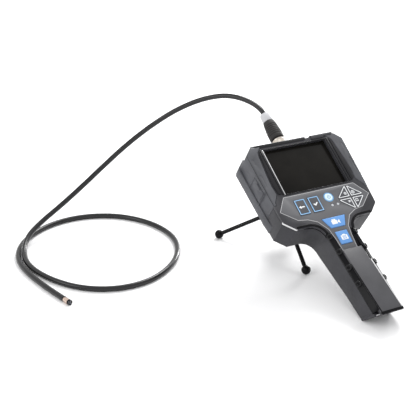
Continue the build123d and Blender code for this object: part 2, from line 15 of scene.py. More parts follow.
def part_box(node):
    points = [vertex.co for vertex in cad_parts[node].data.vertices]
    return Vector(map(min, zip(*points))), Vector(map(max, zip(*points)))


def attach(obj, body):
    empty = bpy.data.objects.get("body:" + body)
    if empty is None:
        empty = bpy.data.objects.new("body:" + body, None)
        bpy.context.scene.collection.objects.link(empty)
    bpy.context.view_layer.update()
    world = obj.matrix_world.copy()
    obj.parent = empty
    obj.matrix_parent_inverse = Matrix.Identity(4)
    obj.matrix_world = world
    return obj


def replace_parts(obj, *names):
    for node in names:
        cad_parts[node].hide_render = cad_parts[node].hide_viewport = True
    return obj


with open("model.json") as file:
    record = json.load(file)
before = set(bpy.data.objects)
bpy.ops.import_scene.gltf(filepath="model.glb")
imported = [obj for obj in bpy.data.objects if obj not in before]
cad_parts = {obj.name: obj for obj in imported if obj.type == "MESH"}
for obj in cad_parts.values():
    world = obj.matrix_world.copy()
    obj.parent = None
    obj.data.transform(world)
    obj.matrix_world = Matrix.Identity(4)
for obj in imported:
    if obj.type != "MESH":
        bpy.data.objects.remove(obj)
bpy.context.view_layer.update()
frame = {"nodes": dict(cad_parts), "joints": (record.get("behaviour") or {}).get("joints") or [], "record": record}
MM = 0.001

# %% [markdown]
# ## Camera
# A product is best seen through a long lens from well above the table, so the perspective is mild.
# The camera is placed by the point it looks at, its distance, and two angles round that point.

# %% Camera
LOOK_AT = Vector((-0.1056, 0.0489, 0.0727))
CAMERA_AZIMUTH, CAMERA_ELEVATION, CAMERA_DISTANCE = math.radians(-27.2), math.radians(24.74), 0.97
back = Vector((math.sin(CAMERA_AZIMUTH) * math.cos(CAMERA_ELEVATION),
               -math.cos(CAMERA_AZIMUTH) * math.cos(CAMERA_ELEVATION), math.sin(CAMERA_ELEVATION)))
bpy.ops.object.camera_add(location=LOOK_AT + back * CAMERA_DISTANCE)
camera = bpy.context.object
camera.rotation_euler = (-back).to_track_quat("-Z", "Y").to_euler()
camera.data.sensor_width, camera.data.lens = 36.0, 86.54
bpy.context.scene.camera = camera
print("camera at", [round(v, 3) for v in camera.location])

# %% [markdown]
# ## The probe cable's route
# The cable is stiff: it climbs out of its sleeve, arches over and comes down in one long curve, then lies
# on the table in a single loop. A NURBS spline of order 3 runs smoothly inside the corners of its control
# points, which is how a springy cable looks. The first point is where the cable leaves the white sleeve.

# %% The probe cable
CABLE_DIAMETER, CABLE_LENGTH = 5.5 * MM, 0.98
FLOOR_RUN_MM = 2.75
ROUTE_MM = [
    (-8.8, 109.22, 133.28), (-8.8, 120.11, 140.39),
    (-25.0, 152.0, 145.5), (-45.5, 176.0, 137.5), (-69.5, 194.0, 123.0), (-95.5, 206.5, 104.0),
    (-122.0, 213.5, 84.0), (-148.5, 216.5, 63.0), (-175.0, 215.5, 44.0), (-201.5, 211.5, 28.5),
    (-226.5, 204.0, 18.0), (-247.0, 191.0, 10.5),
    (-259.0, 168.0, FLOOR_RUN_MM), (-261.0, 137.0, FLOOR_RUN_MM), (-250.0, 103.0, FLOOR_RUN_MM),
    (-230.0, 74.0, FLOOR_RUN_MM), (-200.0, 57.0, FLOOR_RUN_MM), (-166.0, 57.0, FLOOR_RUN_MM),
    (-136.0, 73.5, FLOOR_RUN_MM), (-114.0, 99.0, FLOOR_RUN_MM), (-102.5, 131.0, FLOOR_RUN_MM),
    (-105.0, 163.0, FLOOR_RUN_MM), (-118.0, 192.5, FLOOR_RUN_MM), (-140.0, 215.5, FLOOR_RUN_MM),
    (-171.0, 228.0, FLOOR_RUN_MM), (-204.0, 227.0, FLOOR_RUN_MM), (-234.0, 212.0, FLOOR_RUN_MM),
    (-256.0, 189.0, FLOOR_RUN_MM), (-267.5, 160.0, FLOOR_RUN_MM), (-267.0, 130.0, FLOOR_RUN_MM),
    (-262.0, 102.0, FLOOR_RUN_MM), (-256.5, 79.0, FLOOR_RUN_MM), (-252.0, 62.5, FLOOR_RUN_MM),
]
route = [Vector(point) * MM for point in ROUTE_MM]
line = bpy.data.curves.new("probe_cable_jacket", "CURVE")
line.dimensions = "3D"
spline = line.splines.new("NURBS")
spline.points.add(len(route) - 1)
for control, place in zip(spline.points, route):
    control.co = (*place, 1.0)
spline.order_u = 3
spline.use_endpoint_u = True
line.resolution_u = 12
line.bevel_depth = CABLE_DIAMETER / 2
line.bevel_resolution = 6
cable = bpy.data.objects.new("probe_cable_jacket", line)
bpy.context.collection.objects.link(cable)
print("cable control points:", len(route))

# %% [markdown]
# ## Handset axes
# The handset leans back on its tripod. Its pieces are easier to draw lying flat, with x to the right,
# y towards the cable and z out of the screen, so one matrix takes a drawing in millimetres to its place.
# The lean comes from the tripod screw's axis, and the place from the screen window.

# %% Handset axes
screen_joint = next(j for j in frame["joints"] if j["name"] == "stand_screw_turn")
out_of_screen = Vector(screen_joint["axis"]).normalized()
up_the_handset = Vector((0.0, out_of_screen.z, -out_of_screen.y))
low, high = (Vector(c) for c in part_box("screen_window"))
WINDOW_CENTRE_MM = Vector((0.0, 26.65, -3.75))
axes = Matrix(((1, 0, 0), up_the_handset, out_of_screen)).transposed()
HANDSET = Matrix.Translation((low + high) / 2) @ axes.to_4x4() @ Matrix.Scale(MM, 4)
HANDSET = HANDSET @ Matrix.Translation(-WINDOW_CENTRE_MM)
print("screen's lower edge at", [round(v / MM, 2) for v in HANDSET.translation])

# %% [markdown]
# ## Finishes
# Moulded plastic is never one flat colour: light catches a fine spark-eroded grain, and the tone and the
# gloss drift a little over a hand's breadth. One helper makes such a finish from noise on the object's
# own coordinates; each finish is then a short call with its own colour, roughness and grain.

# %% Finish helper
def finish(name, colour, roughness, grain=0.0, grain_size=0.5, drift=0.12, metallic=0.0, coat=0.0, specular=0.5,
           spread=0.08):
    """A procedural finish: colour drifts by `drift`, roughness by `spread`, grain is bump in millimetres."""
    material = bpy.data.materials.new(name)
    material.use_nodes = True
    nodes, links = material.node_tree.nodes, material.node_tree.links
    shader = nodes["Principled BSDF"]
    shader.inputs["Metallic"].default_value = metallic
    shader.inputs["Coat Weight"].default_value = coat
    shader.inputs["Coat Roughness"].default_value = 0.12
    shader.inputs["Specular IOR Level"].default_value = specular
    place = nodes.new("ShaderNodeTexCoord")
    broad = nodes.new("ShaderNodeTexNoise")
    broad.inputs["Scale"].default_value = 45.0
    broad.inputs["Detail"].default_value = 4.0
    links.new(place.outputs["Object"], broad.inputs["Vector"])
    tone = nodes.new("ShaderNodeValToRGB")
    tone.color_ramp.elements[0].position, tone.color_ramp.elements[1].position = 0.3, 0.7
    tone.color_ramp.elements[0].color = (*[c * (1 - drift) for c in colour], 1)
    tone.color_ramp.elements[1].color = (*[min(1, c * (1 + drift)) for c in colour], 1)
    links.new(broad.outputs["Fac"], tone.inputs["Fac"])
    links.new(tone.outputs["Color"], shader.inputs["Base Color"])
    gloss = nodes.new("ShaderNodeMapRange")
    gloss.inputs["To Min"].default_value = max(0.02, roughness - spread)
    gloss.inputs["To Max"].default_value = min(1.0, roughness + spread)
    links.new(broad.outputs["Fac"], gloss.inputs["Value"])
    links.new(gloss.outputs["Result"], shader.inputs["Roughness"])
    if grain:
        fine = nodes.new("ShaderNodeTexNoise")
        fine.inputs["Scale"].default_value = 1.0 / (grain_size * MM)
        fine.inputs["Detail"].default_value = 2.0
        links.new(place.outputs["Object"], fine.inputs["Vector"])
        bump = nodes.new("ShaderNodeBump")
        bump.inputs["Strength"].default_value = 0.6
        bump.inputs["Distance"].default_value = grain * MM
        links.new(fine.outputs["Fac"], bump.inputs["Height"])
        links.new(bump.outputs["Normal"], shader.inputs["Normal"])
    return material


print("finish helper ready")


# %% The finishes
CHARCOAL = finish("charcoal_moulding", (0.033, 0.033, 0.038), 0.42, grain=0.07, grain_size=0.6, drift=0.2,
                  specular=0.28)
COVER_GREY = finish("cover_satin", (0.058, 0.058, 0.064), 0.36, grain=0.06, grain_size=0.6, specular=0.42)
GUARD_GREY = finish("guard_overmould", (0.072, 0.074, 0.083), 0.55, grain=0.09, grain_size=0.9, drift=0.2,
                    specular=0.3)
SOFT_BLACK = finish("soft_black", (0.005, 0.005, 0.006), 0.24, specular=0.10)
GLOSS_BLACK = finish("gloss_black", (0.005, 0.005, 0.006), 0.2, specular=0.14)
OVERLAY_GREY = finish("keypad_film", (0.105, 0.106, 0.114), 0.44, grain=0.03, grain_size=0.4, drift=0.08,
                      specular=0.3)
KEY_GREY = finish("key_grey", (0.066, 0.068, 0.076), 0.40, grain=0.02, grain_size=0.4, specular=0.3)
KEY_BLUE = finish("key_blue", (0.110, 0.290, 0.640), 0.38, grain=0.02, grain_size=0.5, drift=0.06)
FRAME_BLUE = finish("frame_blue", (0.110, 0.330, 0.620), 0.4, grain=0.01, drift=0.05)
PRINT_WHITE = finish("print_white", (0.80, 0.82, 0.84), 0.5, drift=0.03, grain=0.01)
PRINT_GREY = finish("print_grey", (0.42, 0.42, 0.43), 0.5, drift=0.05, grain=0.01)
POWER_WHITE = finish("power_disc", (0.62, 0.78, 0.88), 0.35, drift=0.05, coat=0.2)
SCREEN_BLACK = finish("screen_black", (0.0085, 0.0078, 0.0068), 0.16, drift=0.25, spread=0.03, specular=0.10)
NICKEL = finish("satin_nickel", (0.66, 0.61, 0.55), 0.30, metallic=1.0, grain=0.01, grain_size=0.2)
STEEL = finish("steel", (0.55, 0.55, 0.56), 0.34, metallic=1.0, grain=0.01, grain_size=0.2)
BRASS = finish("brass", (0.62, 0.44, 0.18), 0.32, metallic=1.0)
COPPER = finish("warm_barrel", (0.66, 0.52, 0.44), 0.28, metallic=1.0, grain=0.01, grain_size=0.2)
JACKET = finish("cable_jacket", (0.007, 0.007, 0.008), 0.26, grain=0.10, grain_size=0.7, specular=0.42)
RELIEF_BLACK = finish("relief_rubber", (0.020, 0.018, 0.018), 0.58, grain=0.06, grain_size=0.6, specular=0.35)
BAND_WHITE = finish("band_white", (0.52, 0.52, 0.54), 0.45, drift=0.10, grain=0.02, specular=0.3)
LED_CLEAR = finish("led_clear", (0.45, 0.47, 0.50), 0.18, drift=0.05, coat=0.4)
LENS_GLASS = finish("lens_glass", (0.01, 0.012, 0.03), 0.06, drift=0.2, coat=0.8, spread=0.02)
BOARD_GREEN = finish("board_green", (0.01, 0.10, 0.04), 0.4)
CELL_BLUE = finish("cell_sleeve", (0.03, 0.12, 0.35), 0.3)
TILE_GREY = finish("guard_tile", (0.098, 0.100, 0.110), 0.5, grain=0.16, grain_size=0.8, drift=0.3, specular=0.35)
RIDGE_BLACK = finish("ridge_charcoal", (0.010, 0.010, 0.012), 0.26, grain=0.03, grain_size=0.5, specular=0.25)
# Painted highlight: a pale glossy finish for thin strips where an edge catches the light.
PAINTED_HIGHLIGHT = finish("painted_highlight", (0.62, 0.62, 0.63), 0.2, coat=0.5)
STUD_GLOSS = finish("stud_gloss", (0.005, 0.005, 0.006), 0.14, specular=0.3)
FRAME_PALE = finish("frame_pale", (0.42, 0.60, 0.80), 0.4, drift=0.05)
POWER_MARK = finish("power_mark", (0.22, 0.33, 0.42), 0.4, drift=0.05)
print("finishes:", len(bpy.data.materials))

# %% [markdown]
# ## Rounding the moulded pieces
# A CAD solid has knife edges, and real mouldings don't: a small radius on every edge is what catches the
# light. Each shell's CAD mesh is copied, its loose triangles are merged into whole faces, and a Bevel
# modifier rounds every edge sharper than thirty degrees. The copy then stands for the CAD node.

# %% Rounding helper
BODY_OF = {node: body for body, nodes in frame["record"]["behaviour"]["bodies"].items() for node in nodes}


def alone(piece):
    """Makes one object the only selected and active one."""
    bpy.ops.object.select_all(action="DESELECT")
    piece.select_set(True)
    bpy.context.view_layer.objects.active = piece


def stands_for(piece, node, material):
    """Gives a finished piece its body, its finish and the CAD node that it replaces."""
    piece.data.materials.clear()
    piece.data.materials.append(material)
    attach(piece, BODY_OF[node])
    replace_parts(piece, node)


def smooth(piece, degrees=35):
    alone(piece)
    bpy.ops.object.shade_smooth_by_angle(angle=math.radians(degrees))


def rounded(node, material, radius=0.4, segments=3, sharp=32):
    """A copy of a CAD node with its edges rounded; radius is in millimetres."""
    source = frame["nodes"][node]
    piece = source.copy()
    piece.data = source.data.copy()
    piece.parent = None
    piece.matrix_world = Matrix.Identity(4)
    piece.name = piece.data.name = node + "_moulding"
    bpy.context.collection.objects.link(piece)
    alone(piece)
    bpy.ops.object.mode_set(mode="EDIT")
    bpy.ops.mesh.select_all(action="SELECT")
    bpy.ops.mesh.remove_doubles(threshold=0.004 * MM)
    bpy.ops.mesh.dissolve_limited(angle_limit=math.radians(1.0))
    bpy.ops.object.mode_set(mode="OBJECT")
    if radius:
        bevel = piece.modifiers.new("edge radius", "BEVEL")
        bevel.width, bevel.segments = radius * MM, segments
        bevel.limit_method, bevel.angle_limit = "ANGLE", math.radians(sharp)
        bevel.use_clamp_overlap = True
        bevel.harden_normals = False
        bpy.ops.object.modifier_apply(modifier=bevel.name)
    smooth(piece)
    stands_for(piece, node, material)
    return piece


print("rounding helper ready for", len(BODY_OF), "nodes")


# %% [markdown]
# ## Shells, guards and covers
# The casing is two shells with a gasket between them, two soft side guards, a raised battery cover and a
# plate on the handle's end. Hard shells get a small edge radius, and the soft guards a larger one.

# %% Shells, guards and covers
MOULDINGS = {
    "front_shell": (CHARCOAL, 0.5), "rear_shell": (CHARCOAL, 0.8), "left_guard": (GUARD_GREY, 0.5),
    "right_guard": (GUARD_GREY, 0.5), "battery_cover": (COVER_GREY, 0.5), "handle_end_cap": (CHARCOAL, 0.4),
    "left_grip_strip": (SOFT_BLACK, 0.4), "right_grip_strip": (SOFT_BLACK, 0.4),
    "keypad_overlay": (OVERLAY_GREY, 0.1), "port_flap": (GUARD_GREY, 0.3), "screen_window": (SCREEN_BLACK, 0.1),
    "tripod_pad": (SOFT_BLACK, 0.3), "tripod_hub": (GLOSS_BLACK, 0.5), "tripod_platform": (GLOSS_BLACK, 0.4),
    "tripod_collar": (GLOSS_BLACK, 0.4),
}
for node, (material, radius) in MOULDINGS.items():
    piece = rounded(node, material, radius)
    print(piece.name, len(piece.data.polygons), "faces")
for node in [n for n in frame["nodes"] if n.startswith("key_") and n != "key_switches"]:
    blue = node in ("key_record", "key_photo")
    rounded(node, POWER_WHITE if node == "key_power" else KEY_BLUE if blue else KEY_GREY, 0.2)

# %% [markdown]
# ## Pieces that stay as the CAD drew them
# Inner parts and small round metal parts already have their real shape, so they only need a finish.

# %% CAD nodes with a finish of their own
STAYS = {
    "case_screws": STEEL, "strap_pin": STEEL, "lcd_module": GLOSS_BLACK,
    "status_leds": LED_CLEAR, "main_board": BOARD_GREEN, "key_switches": GLOSS_BLACK, "battery_cell": CELL_BLUE,
    "battery_contacts": STEEL, "usb_socket": STEEL, "card_socket": STEEL, "probe_socket": NICKEL,
    "socket_nut": STEEL, "probe_plug": NICKEL, "camera_lens": LENS_GLASS, "tip_leds": LED_CLEAR,
    "tripod_insert": BRASS, "tripod_screw": STEEL, "leg_pins": STEEL,
    **{f"leg_{i}": GLOSS_BLACK for i in (1, 2, 3)}, **{f"foot_{i}": SOFT_BLACK for i in (1, 2, 3)},
}
for node, material in STAYS.items():
    mesh = frame["nodes"][node].data
    mesh.materials.clear()
    mesh.materials.append(material)
print("CAD nodes with a finish:", len(STAYS))

# %% [markdown]
# ## Drawing on the handset
# Most of what is left is drawn on the handset's face: trims, frames round the keys, small icons. Each one is
# a flat outline with a little height. A filled circle with as many points as the outline has corners is
# added, its points are put on the corners, and the face is extruded upwards. An inset first, with its middle
# deleted, turns the plate into a ring. `settle` then takes the flat drawing to its place on the handset.

# %% Plates, rings and turned pieces
def flat_face(name, outline, low):
    bpy.ops.object.select_all(action="DESELECT")
    bpy.ops.mesh.primitive_circle_add(vertices=len(outline), radius=1, fill_type="NGON")
    piece = bpy.context.object
    piece.name = piece.data.name = name
    for vertex, (x, y) in zip(piece.data.vertices, outline):
        vertex.co = (x, y, low)
    return piece


def raise_all(piece, height):
    """Extrudes everything upwards and turns the faces outwards; leaves the piece in object mode."""
    bpy.ops.mesh.select_all(action="SELECT")
    bpy.ops.mesh.extrude_region_move(TRANSFORM_OT_translate={"value": (0, 0, height)})
    bpy.ops.mesh.select_all(action="SELECT")
    bpy.ops.mesh.normals_make_consistent(inside=False)
    bpy.ops.object.mode_set(mode="OBJECT")


def plate(name, outline, low, high):
    piece = flat_face(name, outline, low)
    bpy.ops.object.mode_set(mode="EDIT")
    raise_all(piece, high - low)
    return piece


def ring_plate(name, outline, width, low, high):
    piece = flat_face(name, outline, low)
    bpy.ops.object.mode_set(mode="EDIT")
    bpy.ops.mesh.select_all(action="SELECT")
    bpy.ops.mesh.inset(thickness=width, use_even_offset=True)
    bpy.ops.mesh.delete(type="FACE")
    raise_all(piece, high - low)
    return piece


def turned(name, profile, sides=48):
    """A round piece along +Z: profile is a list of (height, radius), both ends closed."""
    bpy.ops.object.select_all(action="DESELECT")
    (height, radius), rest = profile[0], profile[1:]
    bpy.ops.mesh.primitive_circle_add(vertices=sides, radius=radius, fill_type="NGON", location=(0, 0, height))
    piece = bpy.context.object
    piece.name = piece.data.name = name
    bpy.ops.object.transform_apply(location=True)
    bpy.ops.object.mode_set(mode="EDIT")
    bpy.ops.mesh.select_all(action="SELECT")
    for next_height, next_radius in rest:
        bpy.ops.mesh.extrude_region_move(TRANSFORM_OT_translate={"value": (0, 0, next_height - height)})
        scale = next_radius / radius
        bpy.ops.transform.resize(value=(scale, scale, 1), center_override=(0, 0, next_height))
        height, radius = next_height, next_radius
    bpy.ops.mesh.select_all(action="SELECT")
    bpy.ops.mesh.normals_make_consistent(inside=False)
    bpy.ops.object.mode_set(mode="OBJECT")
    return piece


def round_edges(piece, radius, segments=2, sharp=30):
    """A Bevel modifier, applied, on every edge sharper than `sharp` degrees."""
    alone(piece)
    bevel = piece.modifiers.new("edge radius", "BEVEL")
    bevel.width, bevel.segments = radius, segments
    bevel.limit_method, bevel.angle_limit = "ANGLE", math.radians(sharp)
    bevel.use_clamp_overlap = True
    bpy.ops.object.modifier_apply(modifier=bevel.name)
    return piece


def joined(name, parts):
    bpy.ops.object.select_all(action="DESELECT")
    for part in parts:
        part.select_set(True)
    bpy.context.view_layer.objects.active = parts[0]
    if len(parts) > 1:
        bpy.ops.object.join()
    parts[0].name = parts[0].data.name = name
    return parts[0]


def copied(piece, matrix, name):
    """A copy with a mesh of its own, moved by a matrix; a mirrored copy has its faces turned back outwards."""
    copy = piece.copy()
    copy.data = piece.data.copy()
    copy.name = copy.data.name = name
    bpy.context.collection.objects.link(copy)
    copy.data.transform(matrix)
    if matrix.determinant() < 0:
        copy.data.flip_normals()
    return copy


def settle(piece, material, slot, body="handset", place=None, degrees=35):
    """Takes a drawn piece to its place, and gives it its finish and the body that it moves with; `slot` is not used.
    """
    piece.data.transform((HANDSET if place is None else place) @ piece.matrix_world)
    piece.matrix_world = Matrix.Identity(4)
    piece.data.materials.clear()
    piece.data.materials.append(material)
    smooth(piece, degrees)
    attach(piece, body)
    return piece


MIRROR_X = Matrix.Scale(-1, 4, (1, 0, 0))


def both_sides(outline_maker, name, material, slot, radius=0.0, **more):
    """The same drawn piece on the right and, mirrored, on the left."""
    right = outline_maker()
    if radius:
        round_edges(right, radius)
    left = copied(right, MIRROR_X, name + "_left")
    right.name = right.data.name = name + "_right"
    return settle(left, material, slot, **more), settle(right, material, slot, **more)


print("drawing helpers ready")


# %% [markdown]
# ## Outlines shared by several pieces
# Each side of the neck is a curve of 14 mm radius that starts at the head's lower corner, and the keypad
# film has an outline of its own. Lists hold the right half, top first; `mirror_closed` adds the left half.

# %% Outlines
NECK_CENTRE, NECK_RADIUS, LOWER_CORNER_X = (30.0, -52.8), 14.0, 42.6
FILM_EDGE = [(40.2, -2.3), (51.0, -17.6), (37.0, -30.2), (27.0, -31.8), (18.2, -36.4), (11.3, -46.8),
             (9.5, -57.4), (8.2, -71.6)]
FILM_TOP, KEY_TOP = 0.0, 0.5


def mirror_closed(points):
    return points + [(-x, y) for x, y in reversed(points)]


def neck_curve(inset, until=-52.8, steps=10):
    """The outline from the head's lower corner round the neck, moved inwards by `inset`."""
    cx, cy = NECK_CENTRE
    radius = NECK_RADIUS + inset
    start = [(LOWER_CORNER_X - 0.41 * inset, cy + radius)]
    angles = [math.pi / 2 + (math.pi / 2) * i / steps for i in range(steps + 1)]
    arc = [(cx + radius * math.cos(a), cy + radius * math.sin(a)) for a in angles]
    return start + [point for point in arc if point[1] >= until]


print("film outline corners:", len(mirror_closed(FILM_EDGE)))


# %% [markdown]
# ## Trims round the screen
# The screen lies in a dark opening with a fine raised edge, and a pale strip on its left edge is a painted highlight.
# A wide rounded ridge stands on each side, split by a groove, and a low brow stands over the right half.

# %% Screen trims
edge = [(36.3, 55.0), (36.3, -0.5)]
trim = ring_plate("screen_edge_trim", mirror_closed(edge), 0.75, -0.2, 0.42)
settle(round_edges(trim, 0.16), RIDGE_BLACK, "soft_black")
# Painted highlight: a pale strip along the screen's left edge stands in for the light that edge catches.
glint = plate("screen_left_glint", [(-37.0, 0.2), (-36.2, 0.2), (-36.2, 54.6), (-37.0, 54.6)], 0.1, 0.5)
settle(round_edges(glint, 0.15), PAINTED_HIGHLIGHT, "soft_black")
both_sides(lambda: plate("ridge", [(37.3, 55.4), (37.3, 0.2), (39.4, 0.6), (39.6, 55.2)], -0.2, 0.75), "inner_ridge",
           RIDGE_BLACK, "shell", 0.5)
outer = [(40.3, 54.6), (40.1, 1.0), (42.4, 1.6), (43.9, 3.2), (44.9, 12.4), (44.4, 24.2), (42.4, 47.9),
         (41.6, 52.4)]
both_sides(lambda: plate("ridge", outer, -0.2, 0.95), "outer_ridge", RIDGE_BLACK, "shell", 0.6)
brow = plate("brow", [(21.4, 56.2), (35.4, 56.2), (36.2, 57.6), (45.6, 57.6), (46.6, 60.6), (22.0, 60.6)], -0.2, 1.1)
settle(round_edges(brow, 0.35), CHARCOAL, "shell")
sill = plate("sill", [(-36.0, 57.2), (14.6, 57.2), (14.6, 60.7), (-44.8, 60.7), (-42.5, 57.8)], -0.2, 0.35)
settle(round_edges(sill, 0.2), RIDGE_BLACK, "shell")
print("screen trims done")

# %% [markdown]
# ## Guards' front plates
# Each soft guard has a lighter, coarse-grained plate on its front, with a dark band of painted shadow where it meets
# the flank.

# %% Guards' front plates
tile = [(38.4, 58.9), (47.2, 60.0), (53.4, 53.2), (54.3, 49.9), (53.3, 46.0), (53.5, 39.6), (52.9, 32.4),
        (52.7, 26.0), (52.5, 14.1), (52.0, 11.2), (52.8, 7.9), (51.9, 0.1), (51.0, -6.4), (47.1, -0.9),
        (45.5, 2.4), (46.4, 12.5), (45.9, 24.3), (43.8, 48.2), (42.8, 53.1)]
both_sides(lambda: plate("tile", tile, -0.3, 0.28), "guard_tile", TILE_GREY, "guard", 0.2)
# Painted shadow: a near-black band along each plate's outer edge stands in for the shade where the plate meets the
# flank.
painted_shadow_band = [(47.3, 60.3), (55.75, 51.6), (55.2, 30.0), (54.2, 0.0), (53.8, -9.0), (51.2, -6.4), (52.2, 0.0),
             (53.0, 7.9), (52.8, 26.0), (53.8, 39.6), (54.5, 49.9), (53.5, 53.4), (47.2, 60.1)]
both_sides(lambda: plate("painted_shadow_strip", painted_shadow_band, -0.62, -0.02), "guard_edge_painted_shadow", RIDGE_BLACK, "guard", 0.15)
print("guard plate corners:", len(tile))

# %% [markdown]
# ## Neck beads, painted corner highlights and the casing's seam
# A glossy bead follows each neck curve and runs on beside the keypad film, down to the battery cover. The
# corner facets carry a pale strip, a painted highlight, and the gasket shows as a black line between the two shells.

# %% Neck beads, painted corner highlights and seam
def neck_bead():
    outside = neck_curve(0.15, until=-50.6)
    inside = neck_curve(2.7, until=-50.6)
    run = [(12.1, -52.0), (11.9, -57.5), (11.75, -71.9), (9.2, -71.9), (9.9, -57.5), (11.6, -49.5)]
    return plate("bead", outside + [(15.6, -50.9), (12.2, -50.9)] + run + list(reversed(inside)), -0.35, 0.62)


both_sides(neck_bead, "neck_bead", SOFT_BLACK, "soft_black", 0.45)


# Painted highlight: a pale strip on each lower corner facet stands in for the light along its edge.
def corner_painted_highlight():
    outline = [(53.0, -27.6), (52.95, -29.06), (42.66, -38.95), (41.6, -38.95), (41.6, -38.3), (52.1, -28.6)]
    return plate("lip_highlight", outline, -2.7, -0.5)


both_sides(corner_painted_highlight, "corner_painted_highlight", PAINTED_HIGHLIGHT, "shell", 0.12)
inset_corners = [(46.75, 60.85), (55.35, 51.75), (52.45, -28.85), (42.45, -38.45)]
seam_run = inset_corners + neck_curve(-0.35)[1:] + [(15.65, -53.4)]
seam = ring_plate("casing_seam", mirror_closed(seam_run), 2.2, -3.62, -2.98)
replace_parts(settle(seam, SOFT_BLACK, "soft_black"), "shell_gasket")
print("seam corners:", len(mirror_closed(seam_run)))

# %% [markdown]
# ## Studs on the grip strips
# Each strip carries four round studs: a low button with a raised rim and a hollow middle. One button is
# turned, hollowed by an inset and a downward extrude, and copied to all eight places.

# %% Studs
STUD_YS, STUD_X, STUD_TILT = (-54.6, -73.2, -91.8, -110.4), 14.3, math.radians(35)
EDGE_LINE = ((-50.5, -0.6), (-145.6, 7.0))


def edge_height(y):
    (y0, z0), (y1, z1) = EDGE_LINE
    return z0 + (z1 - z0) * (y - y0) / (y1 - y0)


def cover_height(y):
    """The battery cover's face rises from the keypad film to the handle's end."""
    return 3.6 + (13.2 - 3.6) * (-72.5 - y) / (147.0 - 72.5)


button = turned("stud", [(1.0, 3.1), (1.5, 3.1), (1.85, 2.75), (1.85, 1.75), (1.2, 1.3)], 32)
round_edges(button, 0.12)
studs = []
for side in (1, -1):
    for y in STUD_YS:
        height = edge_height(y) + (0.4 if y > -72.5 else 1.0)
        place = Matrix.Translation((side * STUD_X, y, height)) @ Matrix.Rotation(side * STUD_TILT, 4, "Y")
        studs.append(copied(button, place, "stud"))
bpy.data.objects.remove(button)
settle(joined("grip_studs", studs), STUD_GLOSS, "soft_black")
print("studs:", len(STUD_YS) * 2)

# %% [markdown]
# ## Printing on the keypad film
# The film has a pale border line. The two tall keys are framed in blue, and the four pads of the direction
# key are outlined in white. The icons say what the keys do without any words.

# %% Frames and border
def rectangle(cx, cy, half_w, half_h):
    return [(cx - half_w, cy - half_h), (cx + half_w, cy - half_h), (cx + half_w, cy + half_h),
            (cx - half_w, cy + half_h)]


border = ring_plate("film_border", mirror_closed(FILM_EDGE), 0.55, FILM_TOP - 0.02, FILM_TOP + 0.06)
settle(border, PRINT_GREY, "overlay")
TALL_KEYS = {"key_esc": (-26.1, -16.9), "key_ok": (-10.9, -16.9)}
for node, (cx, cy) in TALL_KEYS.items():
    frame_line = ring_plate(node + "_frame", rectangle(cx, cy, 5.55, 8.35), 0.95, KEY_TOP - 0.05, KEY_TOP + 0.05)
    settle(frame_line, FRAME_BLUE, "key_blue", body=node)
    line = ring_plate(node + "_line", rectangle(cx, cy, 5.35, 8.15), 0.35, KEY_TOP + 0.02, KEY_TOP + 0.08)
    settle(line, FRAME_PALE, "key_white", body=node)

PAD_CENTRE, PAD_HALF_W, PAD_HALF_H, PAD_CLIP, PAD_GAP = (29.6, -17.5), 13.4, 12.9, 2.2, 0.9
PADS = {"key_upper_left": (-1, 1), "key_upper_right": (1, 1), "key_lower_left": (-1, -1), "key_lower_right": (1, -1)}


def pad_outline(sx, sy, shrink):
    cx, cy = PAD_CENTRE
    near, far_w, far_h = PAD_GAP + shrink, PAD_HALF_W - 1.4 * shrink, PAD_HALF_H - 1.4 * shrink
    corners = [(near, near), (far_w, near), (far_w, PAD_CLIP), (PAD_CLIP, far_h), (near, far_h)]
    return [(cx + sx * x, cy + sy * y) for x, y in corners]


for node, (sx, sy) in PADS.items():
    rim = ring_plate(node + "_outline", pad_outline(sx, sy, 0.15), 0.7, KEY_TOP - 0.05, KEY_TOP + 0.06)
    settle(rim, PRINT_WHITE, "key_white", body=node)
print("framed and outlined keys:", len(TALL_KEYS) + len(PADS))

# %% [markdown]
# ## Icons
# Each sign is made of a few small plates: an arrow, a tick, rings, a film camera, a still camera and the
# usual broken circle for power. Their plates are joined, so that each key carries one piece of printing.

# %% Icons
def circle_points(cx, cy, radius, count=20, first=0.0, turn=2 * math.pi):
    return [(cx + radius * math.cos(first + turn * i / count), cy + radius * math.sin(first + turn * i / count))
            for i in range(count)]


ICON_LOW, ICON_HIGH = KEY_TOP - 0.05, KEY_TOP + 0.07


def mark(outline):
    return plate("mark", outline, ICON_LOW, ICON_HIGH)


def ring_mark(cx, cy, radius, width, count=20):
    return ring_plate("mark", circle_points(cx, cy, radius, count), width, ICON_LOW, ICON_HIGH)


def power_mark(cx, cy):
    arc = circle_points(0, 0, 1.9, 16, math.radians(125), math.radians(308))
    inner = circle_points(0, 0, 1.25, 16, math.radians(125), math.radians(308))
    outline = [(cx + x, cy + y) for x, y in arc + list(reversed(inner))]
    return [mark(outline), mark(rectangle(cx, cy + 1.5, 0.32, 1.1))]


